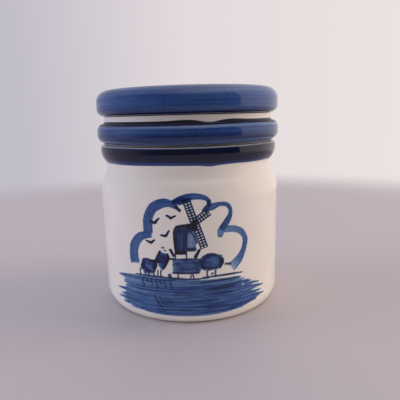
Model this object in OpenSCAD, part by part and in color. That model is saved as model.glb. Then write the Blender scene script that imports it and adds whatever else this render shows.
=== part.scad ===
// Small glazed ceramic storage jar with a lift-off lid.
// The jar and the lid are cast and glazed. A soft finned ring on the lid's plug seals the mouth.
// Millimetres, +Z up, origin at the middle of the foot, on the surface that the jar stands on.

/* [Jar body] */
// Height of the jar from the foot to the rim
jar_h = 61.6; // [50:0.1:120]
// Outside diameter of the body under the shoulder
body_d = 69.3; // [50:0.1:100]
// How much narrower the body is across its base than under the shoulder
body_draft = 0.7; // [0:0.1:3]
// Wall thickness of the jar
jar_wall = 4; // [2.5:0.1:5.5]
// Thickness of the jar's floor above the recess in its foot
floor_t = 4.8; // [3:0.1:10]
// Radius of the rounded bottom corner outside
corner_r = 8; // [7:0.1:14]
// Height of the centre of the bottom corner's round
corner_z = 6.2; // [4:0.1:6.8]
// Radius of the rounded bottom corner inside
inner_corner_r = 5; // [1:0.1:10]
// Radius of the shoulder's outward curve
shoulder_r = 14; // [8:0.1:20]

/* [Foot] */
// Width of the flat ring that the jar stands on
foot_w = 5; // [3:0.1:9]
// Depth of the recess inside the foot ring
foot_recess = 1.2; // [0.5:0.1:2]

/* [Neck, collar and rim] */
// How far the neck lies inside the body's widest place, across the radius
neck_depth = 2.55; // [1:0.05:6]
// Height of the straight part of the neck
neck_h = 1.2; // [0.2:0.1:8]
// Radius of the inward curve between shoulder and neck
neck_cove_r = 6; // [2:0.1:10]
// How far the collar's widest place stands out from the neck
collar_out = 1.9; // [1:0.05:4]
// Radius of the collar's bulge in section
collar_bead_r = 6.4; // [5:0.1:9]
// Radius of the inward curve between collar and neck
collar_cove_r = 1.8; // [0.5:0.1:4]
// Height of the rim above the widest place of the collar
collar_drop = 2; // [1.5:0.1:3]
// Rounding of the rim's outer edge
rim_round = 0.8; // [0.3:0.1:1.2]
// Rounding of the mouth's edge
mouth_round = 0.8; // [0.3:0.1:1.2]

/* [Lid] */
// How far the lid's lower ring stands out past the collar
lower_ring_out = 1; // [0:0.05:3]
// Height of the lower ring
lower_ring_h = 7.3; // [6:0.1:10]
// Rounding of the lower ring's edges
lower_ring_round = 2.9; // [1.5:0.1:2.9]
// Depth of the groove between the rings, from the lower ring's side
groove_depth = 2.75; // [1:0.05:5]
// Height of the groove between the rings
groove_h = 2.6; // [1:0.1:5]
// How far the upper ring's side stays inside the lower ring's
upper_ring_in = 0.2; // [0:0.05:2]
// Height of the upper ring
upper_ring_h = 9.5; // [7.5:0.1:14]
// Rounding of the upper ring's lower edge
upper_ring_under_round = 2.7; // [1.5:0.1:2.8]
// Rounding of the upper ring's top edge
upper_ring_top_round = 4.4; // [2:0.1:4.6]
// Radius of the lid's slightly domed top
dome_r = 800; // [150:10:2000]
// Thickness of the lid's top over the hollow
lid_top_t = 4.4; // [3:0.1:8]
// Depth of the plug under the lid
plug_h = 10.6; // [9:0.1:16]
// Wall thickness of the plug
plug_wall = 4.2; // [3:0.1:6]
// How far the lip at the plug's end stands out
plug_lip = 0.7; // [0.3:0.1:1.2]
// Height of the lip at the plug's end
plug_lip_h = 1.6; // [1:0.1:2.5]
// Rounding at the top of the hollow in the lid
hollow_round = 3; // [1:0.1:6]

/* [Seal ring] */
// Room between plug and mouth that the seal fills, across the radius
seal_w = 2.9; // [2.2:0.1:4]
// Thickness of the flange between lid and rim
seal_flange_t = 0.6; // [0.4:0.1:1.2]
// How far the flange stays inside the rim's rounded edge
seal_flange_inset = 0.5; // [0.2:0.1:2]
// Thickness of the sleeve round the plug
sleeve_t = 1.4; // [0.8:0.1:1.6]
// Number of fins
fin_count = 3; // [2:1:4]
// Thickness of a fin where it leaves the sleeve
fin_root_t = 1; // [0.6:0.1:1.4]
// Thickness of a fin at its tip
fin_tip_t = 0.5; // [0.3:0.1:0.6]
// How far a fin slants up towards its tip
fin_rise = 0.8; // [0:0.1:1.2]

/* [Clearances] */
// Gap between the fins' tips and the mouth
fin_gap = 0.15; // [0.1:0.05:0.3]
// Gap between the sleeve and the plug
sleeve_gap = 0.1; // [0.05:0.05:0.3]
// Gap between the sleeve's end and the lip of the plug
sleeve_end_gap = 0.1; // [0.05:0.05:0.4]
// Space kept between the upper fin and the rim's level
fin_rim_space = 0.8; // [0.5:0.1:2]

/* [Hidden] */
$fn = 128;
// Steps of the dome's very large circle
dome_fn = 1440;
// How far a cutting shape runs past the face that it cuts
cut = 1;
// How far a stretch of the outline runs on inside the next one
lap = 0.4;
// How deep a straight or hollow stretch starts inside the round one beside it
tuck = 0.001;

// Radii of the jar
body_r = body_d / 2;
base_r = body_r - body_draft / 2;
neck_r = body_r - neck_depth;
mouth_r = neck_r - jar_wall;
collar_r = neck_r + collar_out;
foot_out_r = base_r - corner_r + sqrt(corner_r * corner_r - corner_z * corner_z);
foot_in_r = foot_out_r - foot_w;

// Angles through which the two pairs of curves turn
shoulder_a = acos(1 - (body_r - neck_r) / (shoulder_r + neck_cove_r));
collar_a = acos(1 - (collar_r - neck_r) / (collar_bead_r + collar_cove_r));

// Heights on the jar, from the rim down to the floor
rim_z = jar_h;
collar_z = rim_z - collar_drop;
collar_turn_z = collar_z - collar_bead_r * sin(collar_a);
neck_top_z = collar_turn_z - collar_cove_r * sin(collar_a);
neck_z = neck_top_z - neck_h;
shoulder_turn_z = neck_z - neck_cove_r * sin(shoulder_a);
shoulder_z = shoulder_turn_z - shoulder_r * sin(shoulder_a);
floor_z = foot_recess + floor_t;

// The rim's rounded edge touches the collar's bulge from inside
collar_mid_r = collar_r - collar_bead_r;
rim_edge_z = rim_z - rim_round;
rim_edge_span = collar_bead_r - rim_round;
rim_edge_r = collar_mid_r + sqrt(rim_edge_span * rim_edge_span - pow(rim_edge_z - collar_z, 2));
rim_turn_z = collar_z + (rim_edge_z - collar_z) * collar_bead_r / rim_edge_span;

// The cavity's curves run parallel to the outside
inner_shoulder_r = shoulder_r - jar_wall;
inner_turn_z = shoulder_z + inner_shoulder_r * sin(shoulder_a);

// Radii and heights of the lid
lid_z = rim_z + seal_flange_t;
lower_ring_r = collar_r + lower_ring_out;
lower_top_z = lid_z + lower_ring_h;
groove_r = lower_ring_r - groove_depth;
upper_ring_r = lower_ring_r - upper_ring_in;
upper_z = lower_top_z + groove_h;
upper_top_z = upper_z + upper_ring_h;
upper_round_r = upper_ring_r - upper_ring_top_round;
upper_round_z = upper_top_z - upper_ring_top_round;
plug_r = mouth_r - seal_w;
plug_z = lid_z - plug_h;
hollow_r = plug_r - plug_wall;
hollow_top_z = upper_top_z - lid_top_t;

// The domed top touches the upper ring's rounded edge from outside
dome_span = dome_r - upper_ring_top_round;
dome_z = upper_round_z - sqrt(dome_span * dome_span - upper_round_r * upper_round_r);
dome_edge_r = upper_round_r * dome_r / dome_span;

// Radii and heights of the seal
sleeve_in_r = plug_r + sleeve_gap;
sleeve_out_r = sleeve_in_r + sleeve_t;
sleeve_z = plug_z + plug_lip_h + sleeve_end_gap;
flange_r = rim_edge_r - seal_flange_inset;
fin_r = mouth_r - fin_gap;
fin_first_z = sleeve_z + fin_root_t / 2;
fin_last_z = rim_z - fin_rim_space - fin_rise - fin_root_t / 2;
fin_pitch = (fin_last_z - fin_first_z) / (fin_count - 1);

// Section from the axis out to radius r, between two heights
module straight(r, z0, z1) {
  polygon([[0, z0], [r, z0], [r, z1], [0, z1]]);
}

// Section out to a straight side that leans from r0 to r1
module leaning(r0, z0, r1, z1) {
  polygon([[0, z0], [r0 - tuck, z0], [r1 - tuck, z1], [0, z1]]);
}

// Section out to a circle that swells outwards from its centre at [cr, cz]
module bulge(cr, cz, r, z0, z1) {
  straight(cr, z0, z1);
  intersection() {
    translate([cr, cz]) circle(r);
    straight(cr + r, z0, z1);
  }
}

// Section out to a circle that hollows the side from its centre at [cr, cz]
module cove(cr, cz, r, z0, z1) {
  difference() {
    straight(cr, z0, z1);
    translate([cr, cz]) circle(r + tuck);
  }
}

module jar_outside() {
  bulge(base_r - corner_r, corner_z, corner_r, 0, corner_z + lap);
  leaning(base_r, corner_z, body_r, shoulder_z);
  bulge(body_r - shoulder_r, shoulder_z, shoulder_r, shoulder_z - lap, shoulder_turn_z + lap);
  cove(neck_r + neck_cove_r, neck_z, neck_cove_r, shoulder_turn_z, neck_z);
  straight(neck_r, neck_z - lap, neck_top_z + lap);
  cove(neck_r + collar_cove_r, neck_top_z, collar_cove_r, neck_top_z, collar_turn_z);
  bulge(collar_mid_r, collar_z, collar_bead_r, collar_turn_z - lap, rim_turn_z);
  bulge(rim_edge_r, rim_edge_z, rim_round + tuck, rim_turn_z - lap, rim_z);
}

module jar_cavity() {
  side_z = floor_z + inner_corner_r;
  inner_base_r = base_r - jar_wall;
  edge_z = rim_z - mouth_round;
  edge_r = mouth_r + mouth_round;
  bulge(inner_base_r - inner_corner_r, side_z, inner_corner_r, floor_z, side_z + lap);
  leaning(inner_base_r, side_z, body_r - jar_wall, shoulder_z);
  bulge(body_r - shoulder_r, shoulder_z, inner_shoulder_r, shoulder_z - lap, inner_turn_z + lap);
  cove(neck_r + neck_cove_r, neck_z, neck_cove_r + jar_wall, inner_turn_z, neck_z);
  straight(mouth_r, neck_z - lap, edge_z + lap);
  cove(edge_r, edge_z, mouth_round, edge_z, rim_z);
  straight(edge_r, rim_z, rim_z + cut);
}

module jar() {
  color("ivory") rotate_extrude() difference() {
    jar_outside();
    jar_cavity();
    leaning(foot_in_r + cut, -cut, foot_in_r - foot_recess, foot_recess);
  }
}

// One ring of the lid, with its own rounding under and over
module lid_ring(r, z0, z1, under_round, top_round) {
  under_z = z0 + under_round;
  top_z = z1 - top_round;
  bulge(r - under_round, under_z, under_round, z0, under_z + lap);
  leaning(r, under_z, r, top_z);
  bulge(r - top_round, top_z, top_round, top_z - lap, z1);
}

// Rounded lip at the end of the plug, which keeps the seal on
module plug_end() {
  lip_r = plug_lip_h / 2;
  bulge(plug_r + plug_lip - lip_r, plug_z + lip_r, lip_r, plug_z, plug_z + plug_lip_h);
  straight(plug_r, plug_z + lip_r, lid_z + lap);
}

module lid_top() {
  intersection() {
    translate([0, dome_z - tuck]) circle(dome_r, $fn = dome_fn);
    straight(dome_edge_r, upper_round_z, dome_z + dome_r + cut);
  }
}

module lid_hollow() {
  round_z = hollow_top_z - hollow_round;
  leaning(hollow_r, plug_z - cut, hollow_r, round_z);
  bulge(hollow_r - hollow_round, round_z, hollow_round, round_z - lap, hollow_top_z);
}

module lid() {
  color("royalblue") rotate_extrude() difference() {
    union() {
      plug_end();
      lid_ring(lower_ring_r, lid_z, lower_top_z, lower_ring_round, lower_ring_round);
      straight(groove_r, lower_top_z - lower_ring_round, upper_z + upper_ring_under_round);
      lid_ring(upper_ring_r, upper_z, upper_top_z, upper_ring_under_round, upper_ring_top_round);
      lid_top();
    }
    lid_hollow();
  }
}

// Section of one slanting fin, rooted inside the sleeve
module fin(z) {
  root_r = sleeve_out_r - sleeve_t / 2;
  tip_z = z + fin_rise;
  polygon([
    [root_r, z - fin_root_t / 2],
    [sleeve_out_r, z - fin_root_t / 2],
    [fin_r, tip_z - fin_tip_t / 2],
    [fin_r, tip_z + fin_tip_t / 2],
    [sleeve_out_r, z + fin_root_t / 2],
    [root_r, z + fin_root_t / 2]
  ]);
}

module seal_ring() {
  color("lightgray") rotate_extrude() {
    translate([sleeve_in_r, sleeve_z]) square([sleeve_t, lid_z - seal_flange_t / 2 - sleeve_z]);
    translate([sleeve_in_r, rim_z]) square([flange_r - sleeve_in_r, seal_flange_t]);
    for (i = [0 : fin_count - 1]) fin(fin_first_z + i * fin_pitch);
  }
}

jar();
lid();
seal_ring();
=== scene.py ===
# %% [markdown]
# # A lidded jar in white and cobalt glaze
# The object is a small storage jar: a cast earthenware body, a lid with two rings, and a soft seal
# between them. All three are round, so each is turned from a section, as a potter's template would do it.
# What makes it more than three turned shapes is the brushwork, which is painted stroke by stroke below.

import math

import bpy
import numpy as np
from mathutils import Matrix, Vector


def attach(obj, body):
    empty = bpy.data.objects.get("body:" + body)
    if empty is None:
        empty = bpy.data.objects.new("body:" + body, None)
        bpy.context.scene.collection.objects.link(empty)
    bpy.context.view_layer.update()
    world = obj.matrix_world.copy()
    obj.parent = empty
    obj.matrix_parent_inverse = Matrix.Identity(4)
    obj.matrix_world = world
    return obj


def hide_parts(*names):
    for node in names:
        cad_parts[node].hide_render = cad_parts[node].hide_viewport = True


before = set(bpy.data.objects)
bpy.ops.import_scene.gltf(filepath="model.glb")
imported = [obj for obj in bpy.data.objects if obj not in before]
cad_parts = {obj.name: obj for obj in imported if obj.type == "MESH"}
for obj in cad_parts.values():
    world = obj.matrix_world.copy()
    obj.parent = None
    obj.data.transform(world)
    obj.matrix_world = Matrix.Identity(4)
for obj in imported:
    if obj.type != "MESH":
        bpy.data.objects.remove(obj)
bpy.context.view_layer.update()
MM = 0.001
scene = bpy.context.scene

# %% [markdown]
# ## Camera
# The photograph looks slightly down on the front of the jar, from about two and a half jar widths away, and
# is held a little off level. A camera can be placed by hand and nudged, but here the view angles are known,
# so its matrix is built from its own three directions: right, up and back.

# %% Camera at the photograph's angle
# Lengths are in mm and angles in radians. Values that end in PX are pixels of the photograph
FRAME_PX = 400
FOCAL_PX = 450
MIDDLE_PX = 189.62
SENSOR = 36
CAMERA_AWAY = 179.6
CAMERA_HEIGHT = 72.07
LOOK_DOWN = 0.188
ROLL = 0.028
NEAREST_SEEN = 10 * MM
FARTHEST_SEEN = 20


def placed(name, data):
    """A new object in the scene that shows the data."""
    made = bpy.data.objects.new(name, data)
    scene.collection.objects.link(made)
    return made


lens = bpy.data.cameras.new("Camera")
lens.sensor_width = SENSOR
lens.lens = SENSOR * FOCAL_PX / FRAME_PX
lens.shift_x = (FRAME_PX / 2 - MIDDLE_PX) / FRAME_PX
lens.clip_start = NEAREST_SEEN
lens.clip_end = FARTHEST_SEEN
camera = placed("Camera", lens)
scene.camera = camera

ahead = Vector((0, math.cos(LOOK_DOWN), -math.sin(LOOK_DOWN)))
level_up = Vector((0, math.sin(LOOK_DOWN), math.cos(LOOK_DOWN)))
right = Vector((math.cos(ROLL), 0, 0)) - level_up * math.sin(ROLL)
up = right.cross(ahead)
turned = Matrix((right, up, -ahead)).transposed().to_4x4()
camera.matrix_world = Matrix.Translation((0, -CAMERA_AWAY * MM, CAMERA_HEIGHT * MM)) @ turned
print("camera: lens", lens.lens, "mm, shift", round(lens.shift_x, 4))

# %% [markdown]
# ## Nodes and colours
# Every material and the turning tool are node trees. One helper adds a node: its settings are properties,
# its inputs are either values or the sockets that feed it, and it hands back the output that the next node
# takes. Colours are written as sRGB hex, as a paint chart gives them, and Blender wants them linear, so one
# function converts them.


# %% Helpers for nodes and colours
def linear(hex_colour):
    """An sRGB hex colour as the linear RGBA that Blender's sockets take."""
    shares = [int(hex_colour[i : i + 2], 16) / 255 for i in (1, 3, 5)]
    return [s / 12.92 if s <= 0.04045 else ((s + 0.055) / 1.055) ** 2.4 for s in shares] + [1]


def add(tree, kind, inputs=None, out=None, **settings):
    """Adds a node with its settings. An input is a value, or the socket that is linked to it.

    Gives the output that is named, or else the first one that the settings leave in use.
    """
    made = tree.nodes.new(kind)
    for name, value in settings.items():
        setattr(made, name, value)
    for key, value in (inputs or {}).items():
        if isinstance(value, bpy.types.NodeSocket):
            tree.links.new(value, made.inputs[key])
        else:
            made.inputs[key].default_value = value
    return made.outputs[out] if out else next((s for s in made.outputs if s.enabled), None)


def stops(ramp, *pairs):
    """Sets the stops of the colour ramp that gives this output, from (place, hex colour) pairs."""
    elements = ramp.node.color_ramp.elements
    while len(elements) < len(pairs):
        elements.new(1)
    for element, (place, colour) in zip(elements, pairs):
        element.position = place
        element.color = linear(colour)
    return ramp


def blank(name):
    """A new material and its empty node tree."""
    made = bpy.data.materials.new(name)
    made.use_nodes = True
    made.node_tree.nodes.clear()
    return made, made.node_tree


print("the grey #808080 as linear light:", round(linear("#808080")[0], 3))

# %% [markdown]
# ## Studio
# The photograph was taken in a light tent with an open front: pale cloth behind, above and at the sides,
# cooler on the left and brighter on the right. A world that changes colour from left to right is that
# cloth, and gives soft light without a hard lamp to place. A wide flag of grey felt stands for the open
# front, from below the table to well above the jar. The camera doesn't see it, so every view has the pale
# background, but the glaze does, and that gives the rings their dark middle and their bright ends. Its left
# side is an open weave, so its edge is soft there.

# %% Light tent
# The ceiling is brighter. It starts where a ray rises this steeply, as the sine of the angle
CEILING_LIGHT = 1.7
CEILING_FROM = 0.45
CEILING_TO = 0.8
TENT_LIGHT = 0.7
# From the left side of the tent to the right
CLOTH = ((0, "#AFACB8"), (0.33, "#C2BEC9"), (0.5, "#E3DADD"), (0.7, "#ECE2E1"), (1, "#FFF3EA"))

world = bpy.data.worlds.new("Light_tent")
scene.world = world
world.use_nodes = True
tent = world.node_tree
tent.nodes.clear()
ray = add(tent, "ShaderNodeTexCoord", out="Generated")
ray_way = add(tent, "ShaderNodeSeparateXYZ", {0: ray}).node.outputs
across = add(tent, "ShaderNodeMapRange", {"Value": ray_way["X"], "From Min": -1, "From Max": 1})
cloth = stops(add(tent, "ShaderNodeValToRGB", {0: across}), *CLOTH)
steep = {"Value": ray_way["Z"], "From Min": CEILING_FROM, "From Max": CEILING_TO, "To Min": 1}
steep["To Max"] = CEILING_LIGHT
overhead = add(tent, "ShaderNodeMapRange", steep, interpolation_type="SMOOTHSTEP")
# The camera and the glaze see the cloth as bright as the photograph has it. The light that it gives is less
path = add(tent, "ShaderNodeLightPath").node.outputs
seen = path["Is Camera Ray"]
for way in ("Is Glossy Ray", "Is Transmission Ray"):
    seen = add(tent, "ShaderNodeMath", {0: seen, 1: path[way]}, operation="MAXIMUM")
shown = add(tent, "ShaderNodeMapRange", {"Value": seen, "To Min": TENT_LIGHT, "To Max": 1})
strength = add(tent, "ShaderNodeMath", {0: overhead, 1: shown}, operation="MULTIPLY")
tent_light = add(tent, "ShaderNodeBackground", {"Color": cloth, "Strength": strength})
add(tent, "ShaderNodeOutputWorld", {"Surface": tent_light})
print("light tent:", len(tent.nodes), "nodes,", len(CLOTH), "shades of cloth")

# %% Dark flag at the open front
# Its sides are turns in degrees from the front, and its weave is closed to the right of FLAG_FULL
FLAG_AWAY = 1600 * MM
FLAG_HEIGHT = 1250 * MM
FLAG_DEPTH = 600 * MM
FLAG_LEFT = -85
FLAG_FULL = -45
FLAG_RIGHT = 67
FLAG_PANELS = 60
FELT_GREY = "#7A7779"


def store(mesh, name, values):
    """Keeps an array on the mesh as a float attribute, for a material or a tree to read."""
    held = mesh.attributes.new(name, "FLOAT", "POINT")
    held.data.foreach_set("value", np.asarray(values, np.float32))


flag_mesh = bpy.data.meshes.new("Dark_flag")
flag_points = []
flag_weave = []
for turn in np.linspace(FLAG_LEFT, FLAG_RIGHT, FLAG_PANELS + 1):
    x = FLAG_AWAY * math.sin(math.radians(turn))
    y = -FLAG_AWAY * math.cos(math.radians(turn))
    flag_points += [(x, y, -FLAG_DEPTH), (x, y, FLAG_HEIGHT)]
    flag_weave += [min(1, (turn - FLAG_LEFT) / (FLAG_FULL - FLAG_LEFT))] * 2
panels = [(2 * i, 2 * i + 1, 2 * i + 3, 2 * i + 2) for i in range(FLAG_PANELS)]
flag_mesh.from_pydata(flag_points, [], panels)
store(flag_mesh, "weave", flag_weave)
flag = placed("Dark_flag", flag_mesh)
flag.visible_camera = False

# Pressed felt has no shine at all, and where it is thin, light comes through between its fibres
felt, tree = blank("Grey_wool_felt_pressed")
weave = add(tree, "ShaderNodeAttribute", out="Fac", attribute_name="weave")
open_weave = add(tree, "ShaderNodeBsdfTransparent")
close_weave = add(tree, "ShaderNodeBsdfDiffuse", {"Color": linear(FELT_GREY)})
cloth_side = add(tree, "ShaderNodeMixShader", {0: weave, 1: open_weave, 2: close_weave})
add(tree, "ShaderNodeOutputMaterial", {"Surface": cloth_side})
flag_mesh.materials.append(felt)
print("dark flag from", FLAG_LEFT, "to", FLAG_RIGHT, "degrees round the front")

# %% [markdown]
# The flag also takes light away from the front, so softboxes give it back: one over the camera, a cooler one
# on the left and a warmer one on the right. They are hidden from reflections, so that the glaze still
# mirrors the dark front.

# %% Softboxes
# Each: name, place in metres, power in watts and colour
SOFTBOXES = (
    ("Front_softbox", (-0.15, -0.75, 0.55), 0.4, "#FFFAF8"),
    ("Left_softbox", (-0.9, 0, 0.35), 4.2, "#DFE7FF"),
    ("Right_softbox", (0.9, 0.05, 0.4), 4.7, "#FFEBDC"),
)
SOFTBOX_SIZE = 600 * MM
MIDDLE_OF_JAR = Vector((0, 0, 35 * MM))

for name, spot, power, colour in SOFTBOXES:
    lamp = bpy.data.lights.new(name, "AREA")
    lamp.shape = "SQUARE"
    lamp.size = SOFTBOX_SIZE
    lamp.energy = power
    lamp.color = linear(colour)[:3]
    softbox = placed(name, lamp)
    softbox.location = spot
    softbox.rotation_euler = (MIDDLE_OF_JAR - softbox.location).to_track_quat("-Z", "Y").to_euler()
    softbox.visible_camera = False
    softbox.visible_glossy = False
print(len(SOFTBOXES), "softboxes of", SOFTBOX_SIZE / MM, "mm")

# %% [markdown]
# The floor is a plain pale table. It is a wide disc that fades into the tent at its edge, so that it looks
# the same from every side and meets the background without a hard line. It has no back, and a hole under
# the jar lets light in there, so a view from below shows the foot.

# %% Floor
FLOOR_RADIUS = 420 * MM
FLOOR_FADE_FROM = 230 * MM
FLOOR_FADE_TO = 400 * MM
FLOOR_DROP = 0.05 * MM
FLOOR_HOLE = 31 * MM
FLOOR_SIDES = 96
TABLE_SEEN = "#B6B1B6"
TABLE_LIGHT = "#F2EEF0"
TABLE_ROUGH = 0.6

floor_mesh = bpy.data.meshes.new("Floor")
floor_points = []
for turn in np.linspace(0, 2 * np.pi, FLOOR_SIDES, endpoint=False):
    for away in (FLOOR_HOLE, FLOOR_RADIUS):
        floor_points.append((away * math.cos(turn), away * math.sin(turn), -FLOOR_DROP))
floor_faces = []
for i in range(0, len(floor_points), 2):
    after = (i + 2) % len(floor_points)
    floor_faces.append((i, i + 1, after + 1, after))
floor_mesh.from_pydata(floor_points, [], floor_faces)
floor = placed("Floor", floor_mesh)

# Matt lacquer shows a broad faint sheen and no mirror image
table, tree = blank("Pale_lacquer_sprayed_matt")
place = add(tree, "ShaderNodeTexCoord", out="Object")
away = add(tree, "ShaderNodeVectorMath", {0: place}, operation="LENGTH")
edge = {"Value": away, "From Min": FLOOR_FADE_FROM, "From Max": FLOOR_FADE_TO}
fade = add(tree, "ShaderNodeMapRange", edge, interpolation_type="SMOOTHERSTEP")
from_below = add(tree, "ShaderNodeNewGeometry", out="Backfacing")
clear = add(tree, "ShaderNodeMath", {0: fade, 1: from_below}, operation="MAXIMUM")
# The photograph's table is bright in an exposure that keeps it grey. It is grey for the camera here, and
# bright for the light that it throws up on the jar
lit_by_table = add(tree, "ShaderNodeLightPath", out="Is Diffuse Ray")
two_greys = {"Factor": lit_by_table, "A": linear(TABLE_SEEN), "B": linear(TABLE_LIGHT)}
grey = add(tree, "ShaderNodeMix", two_greys, data_type="RGBA")
table_top = add(tree, "ShaderNodeBsdfPrincipled", {"Base Color": grey, "Roughness": TABLE_ROUGH})
gone = add(tree, "ShaderNodeBsdfTransparent")
mixed = add(tree, "ShaderNodeMixShader", {0: clear, 1: table_top, 2: gone})
add(tree, "ShaderNodeOutputMaterial", {"Surface": mixed})
floor_mesh.materials.append(table)
print("floor: radius", FLOOR_RADIUS / MM, "mm")

# %% [markdown]
# ## Turning
# A potter shapes a round piece by holding a template against the turning clay. The Spin tool does that in
# Blender, but with even steps all round. Here the front carries fine brushwork and the back doesn't, so the
# steps have to be close in front and wide behind. A Geometry Nodes tree does it: a grid gets one row for
# each point of the section and one column for each turn mark, and every grid point is moved to its
# place on the turn. Welding then closes the seam and the poles. The tree also keeps the length along the
# section as an attribute, because the bands are placed by it.

# %% Section stretches
SAME_POINT = 1e-6


def arc(centre, radius, start, end, step):
    """Section points on a circle, from one angle to another in degrees. 0 points away from the axis."""
    count = max(3, math.ceil(abs(math.radians(end - start)) * radius / step) + 1)
    turn = np.radians(np.linspace(start, end, count))
    return np.column_stack([centre[0] + radius * np.cos(turn), centre[1] + radius * np.sin(turn)])


def straight(start, end, step):
    """Section points on a straight stretch."""
    count = max(2, math.ceil(math.dist(start, end) / step) + 1)
    return np.linspace(start, end, count)


def eased(before, corner, after, radius, step):
    """A rounded corner between two straight stretches that would meet at a point."""
    corner = np.array(corner, float)
    one = np.subtract(before, corner) / math.dist(before, corner)
    two = np.subtract(after, corner) / math.dist(after, corner)
    half = math.acos(np.clip(one @ two, -1, 1)) / 2
    middle = corner + (one + two) / np.linalg.norm(one + two) * radius / math.sin(half)
    first = corner + one * radius / math.tan(half) - middle
    last = corner + two * radius / math.tan(half) - middle
    start = math.degrees(math.atan2(first[1], first[0]))
    turn = math.degrees(math.atan2(first[0] * last[1] - first[1] * last[0], first @ last))
    return arc(middle, radius, start, start + turn, step)


def section(**stretches):
    """Joins named stretches. Gives the points, the length along them, and each stretch's start and end."""
    points = np.vstack(list(stretches.values()))
    steps = np.linalg.norm(np.diff(points, axis=0), axis=1)
    run = np.concatenate([[0], np.cumsum(steps)])
    ends = np.cumsum([len(s) for s in stretches.values()])
    spans = {}
    for name, end in zip(stretches, ends):
        spans[name] = (run[end - len(stretches[name])], run[end - 1])
    kept = np.concatenate([[True], steps > SAME_POINT])
    return points[kept], run[kept], spans


print("a quarter round of 3 mm in steps of 0.2 mm:", len(arc((0, 0), 3, 0, 90, 0.2)), "points")

# %% Turning tree: rows and columns
turning = bpy.data.node_groups.new("Turn a section", "GeometryNodeTree")
SOCKETS = (
    ("Section", "NodeSocketGeometry"),
    ("Turn marks", "NodeSocketObject"),
    ("Weld distance", "NodeSocketFloat"),
    ("Crease angle", "NodeSocketFloat"),
    ("Finish", "NodeSocketMaterial"),
)
for name, kind in SOCKETS:
    turning.interface.new_socket(name=name, in_out="INPUT", socket_type=kind)
turning.interface.new_socket(name="Turned piece", in_out="OUTPUT", socket_type="NodeSocketGeometry")

given = add(turning, "NodeGroupInput").node.outputs
marks = add(turning, "GeometryNodeObjectInfo", {"Object": given["Turn marks"]}, out="Geometry")
rows = add(turning, "GeometryNodeAttributeDomainSize", {0: given["Section"]}, out="Point Count")
columns = add(turning, "GeometryNodeAttributeDomainSize", {0: marks}, out="Point Count")
grid = add(turning, "GeometryNodeMeshGrid", {"Vertices X": columns, "Vertices Y": rows}, out="Mesh")

# The grid counts its points column by column
index = add(turning, "GeometryNodeInputIndex")
column = add(turning, "FunctionNodeIntegerMath", {0: index, 1: rows}, operation="DIVIDE_FLOOR")
row = add(turning, "FunctionNodeIntegerMath", {0: index, 1: rows}, operation="MODULO")

# What each grid point takes: its place in the section, its turn mark, and the length along the section
spot = add(turning, "GeometryNodeInputPosition")
run_held = add(turning, "GeometryNodeInputNamedAttribute", {"Name": "run"}, data_type="FLOAT")
taken = []
for holder, value, number, kind in (
    (given["Section"], spot, row, "FLOAT_VECTOR"),
    (marks, spot, column, "FLOAT_VECTOR"),
    (given["Section"], run_held, row, "FLOAT"),
):
    asked = {"Geometry": holder, "Value": value, "Index": number}
    taken.append(add(turning, "GeometryNodeSampleIndex", asked, data_type=kind))
in_section, in_marks, run_there = taken
print("turning tree:", len(SOCKETS), "inputs, and", len(taken), "values for each grid point")

# %% Turning tree: onto the turn
radius_height = add(turning, "ShaderNodeSeparateXYZ", {0: in_section}).node.outputs
turn = add(turning, "ShaderNodeSeparateXYZ", {0: in_marks}, out="X")
on_circle = []
for way in ("SINE", "COSINE"):
    share = add(turning, "ShaderNodeMath", {0: turn}, operation=way)
    on_circle.append(add(turning, "ShaderNodeMath", {0: radius_height["X"], 1: share}, operation="MULTIPLY"))
x, minus_y = on_circle
y = add(turning, "ShaderNodeMath", {0: minus_y, 1: -1.0}, operation="MULTIPLY")
on_turn = add(turning, "ShaderNodeCombineXYZ", {"X": x, "Y": y, "Z": radius_height["Z"]})

run_kept = {"Geometry": grid, "Name": "run", "Value": run_there}
shape = add(turning, "GeometryNodeStoreNamedAttribute", run_kept, data_type="FLOAT", domain="POINT")
shape = add(turning, "GeometryNodeSetPosition", {"Geometry": shape, "Position": on_turn})
shape = add(turning, "GeometryNodeMergeByDistance", {"Geometry": shape, "Distance": given["Weld distance"]})
shape = add(turning, "GeometryNodeSetShadeSmooth", {"Geometry": shape}, domain="FACE")
edge_angle = add(turning, "GeometryNodeInputMeshEdgeAngle", out="Unsigned Angle")
below_crease = {0: edge_angle, 1: given["Crease angle"]}
fair_edge = add(turning, "FunctionNodeCompare", below_crease, operation="LESS_THAN")
smooth = {"Geometry": shape, "Shade Smooth": fair_edge}
shape = add(turning, "GeometryNodeSetShadeSmooth", smooth, domain="EDGE")
shape = add(turning, "GeometryNodeRealizeInstances", {"Geometry": shape})
shape = add(turning, "GeometryNodeSetMaterial", {"Geometry": shape, "Material": given["Finish"]})
add(turning, "NodeGroupOutput", {"Turned piece": shape})
print("turning tree:", len(turning.nodes), "nodes")

# %% Turn marks
MARK_RADIUS = 35.0


def turn_marks(front_half, front_step, back_step, close_half=0.0, close_step=1.0):
    """Angles of the columns from the back round to the back again: close steps in front, wide ones behind.

    The halves and steps are in mm on a circle of MARK_RADIUS.
    """
    edges = [math.pi, front_half / MARK_RADIUS, close_half / MARK_RADIUS]
    sizes = [back_step / MARK_RADIUS, front_step / MARK_RADIUS, close_step / MARK_RADIUS]
    half = [0.0]
    for outer, inner, size in reversed(list(zip(edges, edges[1:] + [0.0], sizes))):
        if outer > inner:
            count = math.ceil((outer - inner) / size)
            half.extend(np.linspace(inner, outer, count + 1)[1:])
    half = np.array(half)
    return np.concatenate([-half[:0:-1], half])


print("even marks of 1 mm all round:", len(turn_marks(0, 1, 1)), "columns")

# %% Turning a piece
WELD = 0.002 * MM
CREASE = math.radians(40)


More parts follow.
